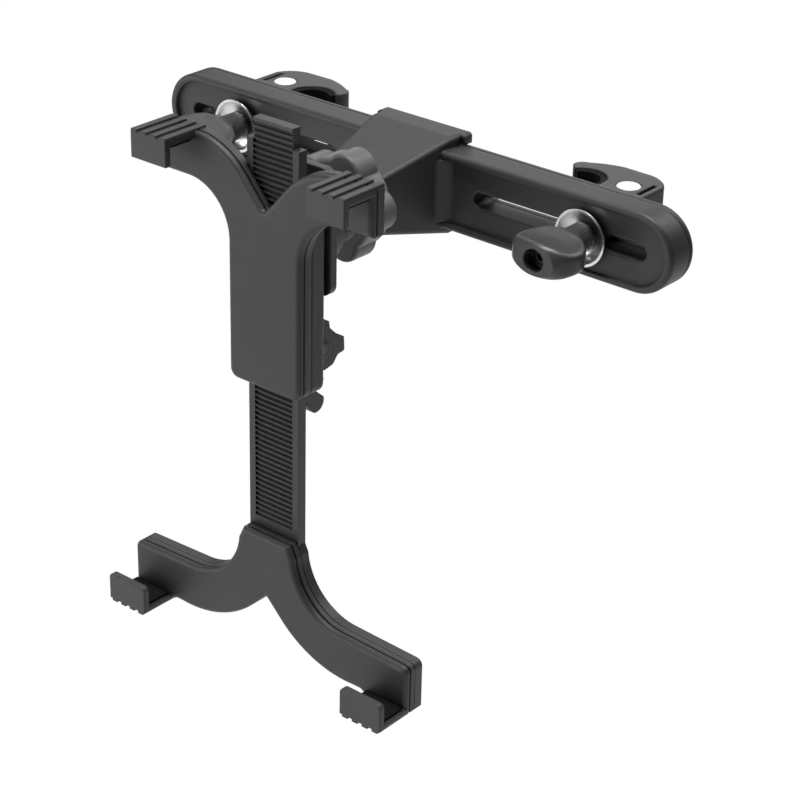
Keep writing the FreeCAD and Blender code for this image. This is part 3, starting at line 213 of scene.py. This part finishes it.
def bump(tree, height, target, distance, strength=1.0, radius=0.0):
    """Fine relief, with edges that light as if they had that radius."""
    node = tree.nodes.new("ShaderNodeBump")
    node.inputs["Distance"].default_value = distance
    node.inputs["Strength"].default_value = strength
    tree.links.new(height, node.inputs["Height"])
    if radius > 0:
        bevel = tree.nodes.new("ShaderNodeBevel")
        bevel.samples = BEVEL_SAMPLES
        bevel.inputs["Radius"].default_value = radius
        link(tree, bevel, "Normal", node, "Normal")
    link(tree, node, "Normal", target, "Normal")


def moulded_plastic(name, grey, roughness, grain=1.0, edge=PLAIN_EDGE):
    """Injection-moulded plastic: spark texture, faint flow marks, sharp edges lightened as rubbed wear and
    painted highlight, and painted shade darkening the creases.
    """
    material, tree, shader = new_material(name)
    coords = object_coords(tree)
    fine = noise(tree, coords, GRAIN_SCALE, 3.0)
    cloud = noise(tree, coords, FLOW_SCALE, 3.0)
    shade = ramp(tree, cloud.outputs["Fac"], 0.3, 0.7, grey * 0.92, grey * 1.10)
    # Sharp edges lightened through pointiness: partly rubbed wear, partly a painted highlight
    edge_pointiness = tree.nodes.new("ShaderNodeNewGeometry")
    edge_wear_and_highlight = ramp(tree, edge_pointiness.outputs["Pointiness"], 0.52, 0.60, 0.0, grey * EDGE_WEAR_AND_HIGHLIGHT_SHARE)
    total = math_node(tree, "ADD", shade.outputs["Result"], edge_wear_and_highlight.outputs["Result"])
    # Painted shade: the colour is darkened where ambient occlusion finds creases and recesses nearby
    painted_crease_shade = tree.nodes.new("ShaderNodeAmbientOcclusion")
    painted_crease_shade.samples = PAINTED_CREASE_SHADE_SAMPLES
    painted_crease_shade.inputs["Distance"].default_value = PAINTED_CREASE_SHADE_REACH
    dark = ramp(tree, painted_crease_shade.outputs["AO"], 0.35, 0.90, PAINTED_CREASE_SHADE_DARKEST, 1.0)
    painted_shade_colour = math_node(tree, "MULTIPLY", total.outputs[0], dark.outputs["Result"])
    grey_colour(tree, painted_shade_colour.outputs[0], shader)
    rough = ramp(tree, fine.outputs["Fac"], 0.25, 0.75, roughness - 0.05, roughness + 0.07)
    link(tree, rough, "Result", shader, "Roughness")
    shader.inputs["Specular IOR Level"].default_value = 0.5
    bump(tree, fine.outputs["Fac"], shader, GRAIN_HEIGHT * grain, 0.55, edge)
    return material


def metal(name, grey, roughness, brushed, metallic=1.0, marked=1.0):
    """Turned or pressed metal with fine marks, fewer where marked is low."""
    material, tree, shader = new_material(name)
    coords = object_coords(tree)
    marks = noise(tree, coords, brushed, 5.0, 0.7)
    value = marks.outputs["Fac"]
    shade = ramp(tree, value, 0.3, 0.7, grey * (1 - 0.12 * marked), grey * (1 + 0.08 * marked))
    grey_colour(tree, shade.outputs["Result"], shader)
    rough = ramp(tree, value, 0.3, 0.7, roughness - 0.05 * marked, roughness + 0.06 * marked)
    link(tree, rough, "Result", shader, "Roughness")
    shader.inputs["Metallic"].default_value = metallic
    bump(tree, value, shader, MARK_HEIGHT * marked, 0.3, FINE_EDGE)
    return material


def rubber(name, grey):
    """Matte rubber with a fine pebbled skin."""
    material, tree, shader = new_material(name)
    coords = object_coords(tree)
    cells = tree.nodes.new("ShaderNodeTexVoronoi")
    cells.inputs["Scale"].default_value = PEBBLE_SCALE
    link(tree, coords, "Object", cells, "Vector")
    cloud = noise(tree, coords, 60.0)
    shade = ramp(tree, cloud.outputs["Fac"], 0.3, 0.7, grey * 0.85, grey * 1.2)
    grey_colour(tree, shade.outputs["Result"], shader)
    rough = ramp(tree, cloud.outputs["Fac"], 0.3, 0.7, 0.72, 0.85)
    link(tree, rough, "Result", shader, "Roughness")
    shader.inputs["Specular IOR Level"].default_value = RUBBER_SPECULAR
    bump(tree, cells.outputs["Distance"], shader, PEBBLE_HEIGHT, 0.6)
    return material


def dress(material, *names):
    """Give the named CAD nodes that material."""
    for name in names:
        slots = nodes[name].data.materials
        if slots:
            slots[0] = material
        else:
            slots.append(material)


def eased(low, high, t):
    """Smooth step from low to high while t runs from 0 to 1."""
    t = min(max(t, 0.0), 1.0)
    return low + (high - low) * t * t * (3 - 2 * t)


def from_table(table, depth):
    """Value read from a table of (distance, value) pairs, straight between them."""
    for (a, value_a), (b, value_b) in zip(table, table[1:]):
        if depth <= b:
            return value_a + (value_b - value_a) * (depth - a) / (b - a)
    return table[-1][1]


def knob_height(x, depth):
    """Half height of the knob over x: a lens, hollowed inside the ridge that runs round the wing."""
    full = KNOB_HALF_HEIGHT * math.sqrt(1 - (x / KNOB_LENS_HALF_WIDTH) ** 2) * from_table(KNOB_RISE, depth)
    across = abs(x / KNOB_DISH_HALF_WIDTH) ** 3
    along = abs((depth - KNOB_DISH_CENTRE) / KNOB_DISH_HALF_LENGTH) ** 3
    return full * (1 - KNOB_DISH_DIP * max(0.0, 1 - across - along))


def knob_loop(depth):
    """Closed section of the knob as (x, z) pairs, that far behind its face."""
    half_width = from_table(KNOB_WIDTHS, depth)
    power = 2 / eased(KNOB_FACE_SQUARENESS, KNOB_WING_SQUARENESS, depth / 5.0)
    points = []
    for i in range(KNOB_SIDES):
        angle = 2 * math.pi * (i + 0.5) / KNOB_SIDES
        x = half_width * math.copysign(abs(math.cos(angle)) ** power, math.cos(angle))
        z = knob_height(x, depth) * math.copysign(abs(math.sin(angle)) ** power, math.sin(angle))
        points.append((x, z))
    return points


def round_loop(radius, like):
    """Circle whose points lie at the same angles as those of another loop."""
    return [(radius * x / math.hypot(x, z), radius * z / math.hypot(x, z)) for x, z in like]


def add_knob(side, turn, material):
    """Wing knob as one blended form: oval face, dished wing, round shank and the socket for the screw."""
    node = "wing_knob_" + side
    low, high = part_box(node)
    length = (high.y - low.y) * 1000
    face = knob_loop(0.0)
    loops = []
    for depth, radius in ((length, KNOB_BORE_RADIUS), (KNOB_HEAD_DEPTH, KNOB_BORE_RADIUS),
                          (KNOB_HEAD_DEPTH, KNOB_HEAD_RADIUS), (KNOB_SOCKET_DEPTH, KNOB_HEAD_RADIUS),
                          (KNOB_SOCKET_DEPTH, KNOB_HOLE), (KNOB_HOLE_BEVEL, KNOB_HOLE),
                          (0.0, KNOB_HOLE + KNOB_HOLE_BEVEL)):
        loops.append((depth, round_loop(radius, face)))
    for depth in KNOB_STATIONS:
        loops.append((depth, knob_loop(depth)))
    last = knob_loop(KNOB_STATIONS[-1])
    for depth in KNOB_SHANK_STATIONS + (length - KNOB_SHANK_BEVEL,):
        loops.append((depth, round_loop(KNOB_SHANK, last)))
    loops.append((length, round_loop(KNOB_SHANK - KNOB_SHANK_BEVEL, last)))
    vertices = []
    for depth, points in loops:
        for x, z in points:
            vertices.append((x * 0.001, low.y + depth * 0.001, z * 0.001))
    faces = []
    rows = len(loops)
    for row in range(rows):
        following = (row + 1) % rows
        for i in range(KNOB_SIDES):
            j = (i + 1) % KNOB_SIDES
            faces.append((row * KNOB_SIDES + i, row * KNOB_SIDES + j,
                          following * KNOB_SIDES + j, following * KNOB_SIDES + i))
    mesh = bpy.data.meshes.new("knob_form_" + side)
    mesh.from_pydata(vertices, [], faces)
    mesh.transform(Matrix.Rotation(math.radians(turn), 4, "Y"))
    mesh.transform(Matrix.Translation(((low.x + high.x) / 2, 0.0, 0.0)))
    mesh.shade_smooth()
    mesh.set_sharp_from_angle(angle=math.radians(KNOB_CREASE_ANGLE))
    mesh.materials.append(material)
    knob = bpy.data.objects.new("knob_form_" + side, mesh)
    bpy.context.scene.collection.objects.link(knob)
    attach(knob, nodes[node]["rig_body"])
    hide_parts(node)


def dress_nodes():
    """Materials of every node, and the blended knobs over the two plain ones."""
    grey = PLASTIC_GREY
    gloss = PLASTIC_ROUGHNESS
    shell = moulded_plastic("shell_plastic", grey, gloss, 1.0, BAR_EDGE)
    cradle = moulded_plastic("cradle_plastic", grey * 1.02, gloss + 0.02, 1.0, CRADLE_EDGE)
    strap = moulded_plastic("strap_plastic", grey * 0.95, gloss - 0.04, 0.6, FINE_EDGE)
    # The knob plastic is lighter than the shell: partly its own tone, partly painted light standing in for
    # the light on its upturned dish
    knob = moulded_plastic("knob_plastic", grey * 1.4, gloss - 0.12, 0.8, KNOB_EDGE)
    lock = moulded_plastic("lock_plastic", grey * 0.9, gloss, 0.8)
    ring = moulded_plastic("ring_plastic", RING_GREY, gloss, 0.5, RING_EDGE)
    ball = moulded_plastic("ball_plastic", grey * 0.7, BALL_ROUGHNESS, 0.2, FINE_EDGE)
    bright = metal("bright_steel", STEEL_GREY, STEEL_ROUGHNESS, 900.0, 1.0, 0.1)
    zinc = metal("zinc_plate", ZINC_GREY, ZINC_ROUGHNESS, 1200.0, 0.25, 0.5)
    dark = metal("dark_steel", DARK_STEEL_GREY, DARK_STEEL_ROUGHNESS, 900.0)
    soft = rubber("pad_rubber", RUBBER_GREY)
    dress(shell, "crossbar_front_shell", "crossbar_back_plate", "clamp_hook_left", "clamp_hook_right")
    dress(cradle, "cradle_front_shell", "cradle_back_shell", "jaw_cover", "cradle_plate")
    dress(strap, "sliding_strap")
    dress(knob, "wing_knob_left", "wing_knob_right")
    for side, turn in (("left", LEFT_KNOB_TURN), ("right", RIGHT_KNOB_TURN)):
        add_knob(side, turn, knob)
    dress(lock, "lock_pawl", "release_lever", "ball_seat_ring")
    dress(ring, "lobed_ring_nut")
    dress(ball, "ball_stud")
    dress(bright, "cup_washer_left", "cup_washer_right")
    dress(zinc, "barrel_nut_left", "barrel_nut_right")
    dress(dark, "crossbar_screws", "plate_screws", "shell_screws", "jaw_cover_screws", "stud_screw",
          "lever_pin", "clamp_screw_left", "clamp_screw_right")
    dress(soft, "hook_liner_left", "hook_liner_right", "upper_pad_left", "upper_pad_right",
          "lower_pad_left", "lower_pad_right")


def aimed_matrix(azimuth, elevation, roll, target, distance):
    """World matrix of a thing that looks at target from that side."""
    az = math.radians(azimuth)
    el = math.radians(elevation)
    forward = Vector((-math.sin(az) * math.cos(el), math.cos(az) * math.cos(el), -math.sin(el)))
    right = Vector((math.cos(az), math.sin(az), 0.0))
    up = right.cross(forward)
    turn = math.radians(roll)
    level = right * math.cos(turn) + up * math.sin(turn)
    upright = up * math.cos(turn) - right * math.sin(turn)
    matrix = Matrix((level, upright, -forward)).transposed().to_4x4()
    matrix.translation = target - forward * distance
    return matrix


def add_camera():
    """Camera at the angle of the photo."""
    data = bpy.data.cameras.new("camera")
    data.sensor_width = SENSOR
    data.lens = LENS
    data.clip_start = 0.01
    camera = bpy.data.objects.new("camera", data)
    camera.matrix_world = aimed_matrix(
        CAMERA_AZIMUTH, CAMERA_ELEVATION, CAMERA_ROLL, CAMERA_TARGET, CAMERA_DISTANCE)
    bpy.context.scene.collection.objects.link(camera)
    bpy.context.scene.camera = camera


def softbox(name, azimuth, elevation, watts):
    """Square soft light that looks at the middle of the part."""
    data = bpy.data.lights.new(name, "AREA")
    data.shape = "RECTANGLE"
    data.size = SOFTBOX_SIZE
    data.size_y = SOFTBOX_SIZE
    data.energy = watts
    light = bpy.data.objects.new(name, data)
    light.matrix_world = aimed_matrix(azimuth, elevation, 0.0, SOFTBOX_TARGET, SOFTBOX_DISTANCE)
    bpy.context.scene.collection.objects.link(light)


def white_stage_material():
    """Pale floor that the camera and reflections see as plain white."""
    material, tree, shader = new_material("stage_white")
    shader.inputs["Base Color"].default_value = (FLOOR_GREY, FLOOR_GREY, FLOOR_GREY, 1.0)
    shader.inputs["Roughness"].default_value = 0.9
    glow = tree.nodes.new("ShaderNodeEmission")
    glow.inputs["Color"].default_value = (1.0, 1.0, 1.0, 1.0)
    glow.inputs["Strength"].default_value = 1.0
    rays = tree.nodes.new("ShaderNodeLightPath")
    mix = tree.nodes.new("ShaderNodeMixShader")
    link(tree, rays, "Is Camera Ray", mix, "Fac")
    tree.links.new(shader.outputs["BSDF"], mix.inputs[1])
    tree.links.new(glow.outputs["Emission"], mix.inputs[2])
    tree.links.new(mix.outputs["Shader"], tree.nodes["Material Output"].inputs["Surface"])
    return material


def add_stage():
    """A floor well below the held part, and the plain sky behind it."""
    half = FLOOR_HALF
    level = FLOOR_LEVEL
    mesh = bpy.data.meshes.new("floor")
    corners = [(-half, -half, level), (half, -half, level), (half, half, level), (-half, half, level)]
    mesh.from_pydata(corners, [], [(0, 1, 2, 3)])
    mesh.materials.append(white_stage_material())
    floor = bpy.data.objects.new("floor", mesh)
    bpy.context.scene.collection.objects.link(floor)


def add_world():
    """Dim even light from all round, seen by the camera as plain white."""
    world = bpy.data.worlds.new("studio")
    world.use_nodes = True
    tree = world.node_tree
    background = tree.nodes["Background"]
    background.inputs["Color"].default_value = (1.0, 1.0, 1.0, 1.0)
    background.inputs["Strength"].default_value = SKY_STRENGTH
    seen = tree.nodes.new("ShaderNodeBackground")
    seen.inputs["Color"].default_value = (1.0, 1.0, 1.0, 1.0)
    seen.inputs["Strength"].default_value = 1.0
    rays = tree.nodes.new("ShaderNodeLightPath")
    mix = tree.nodes.new("ShaderNodeMixShader")
    tree.links.new(rays.outputs["Is Camera Ray"], mix.inputs["Fac"])
    tree.links.new(background.outputs["Background"], mix.inputs[1])
    tree.links.new(seen.outputs["Background"], mix.inputs[2])
    tree.links.new(mix.outputs["Shader"], tree.nodes["World Output"].inputs["Surface"])
    bpy.context.scene.world = world


def light_studio():
    add_world()
    for name, azimuth, elevation, watts in SOFTBOXES:
        softbox(name, azimuth, elevation, watts)


dress_nodes()
add_camera()
add_stage()
light_studio()
bpy.context.scene.view_settings.view_transform = "Standard"
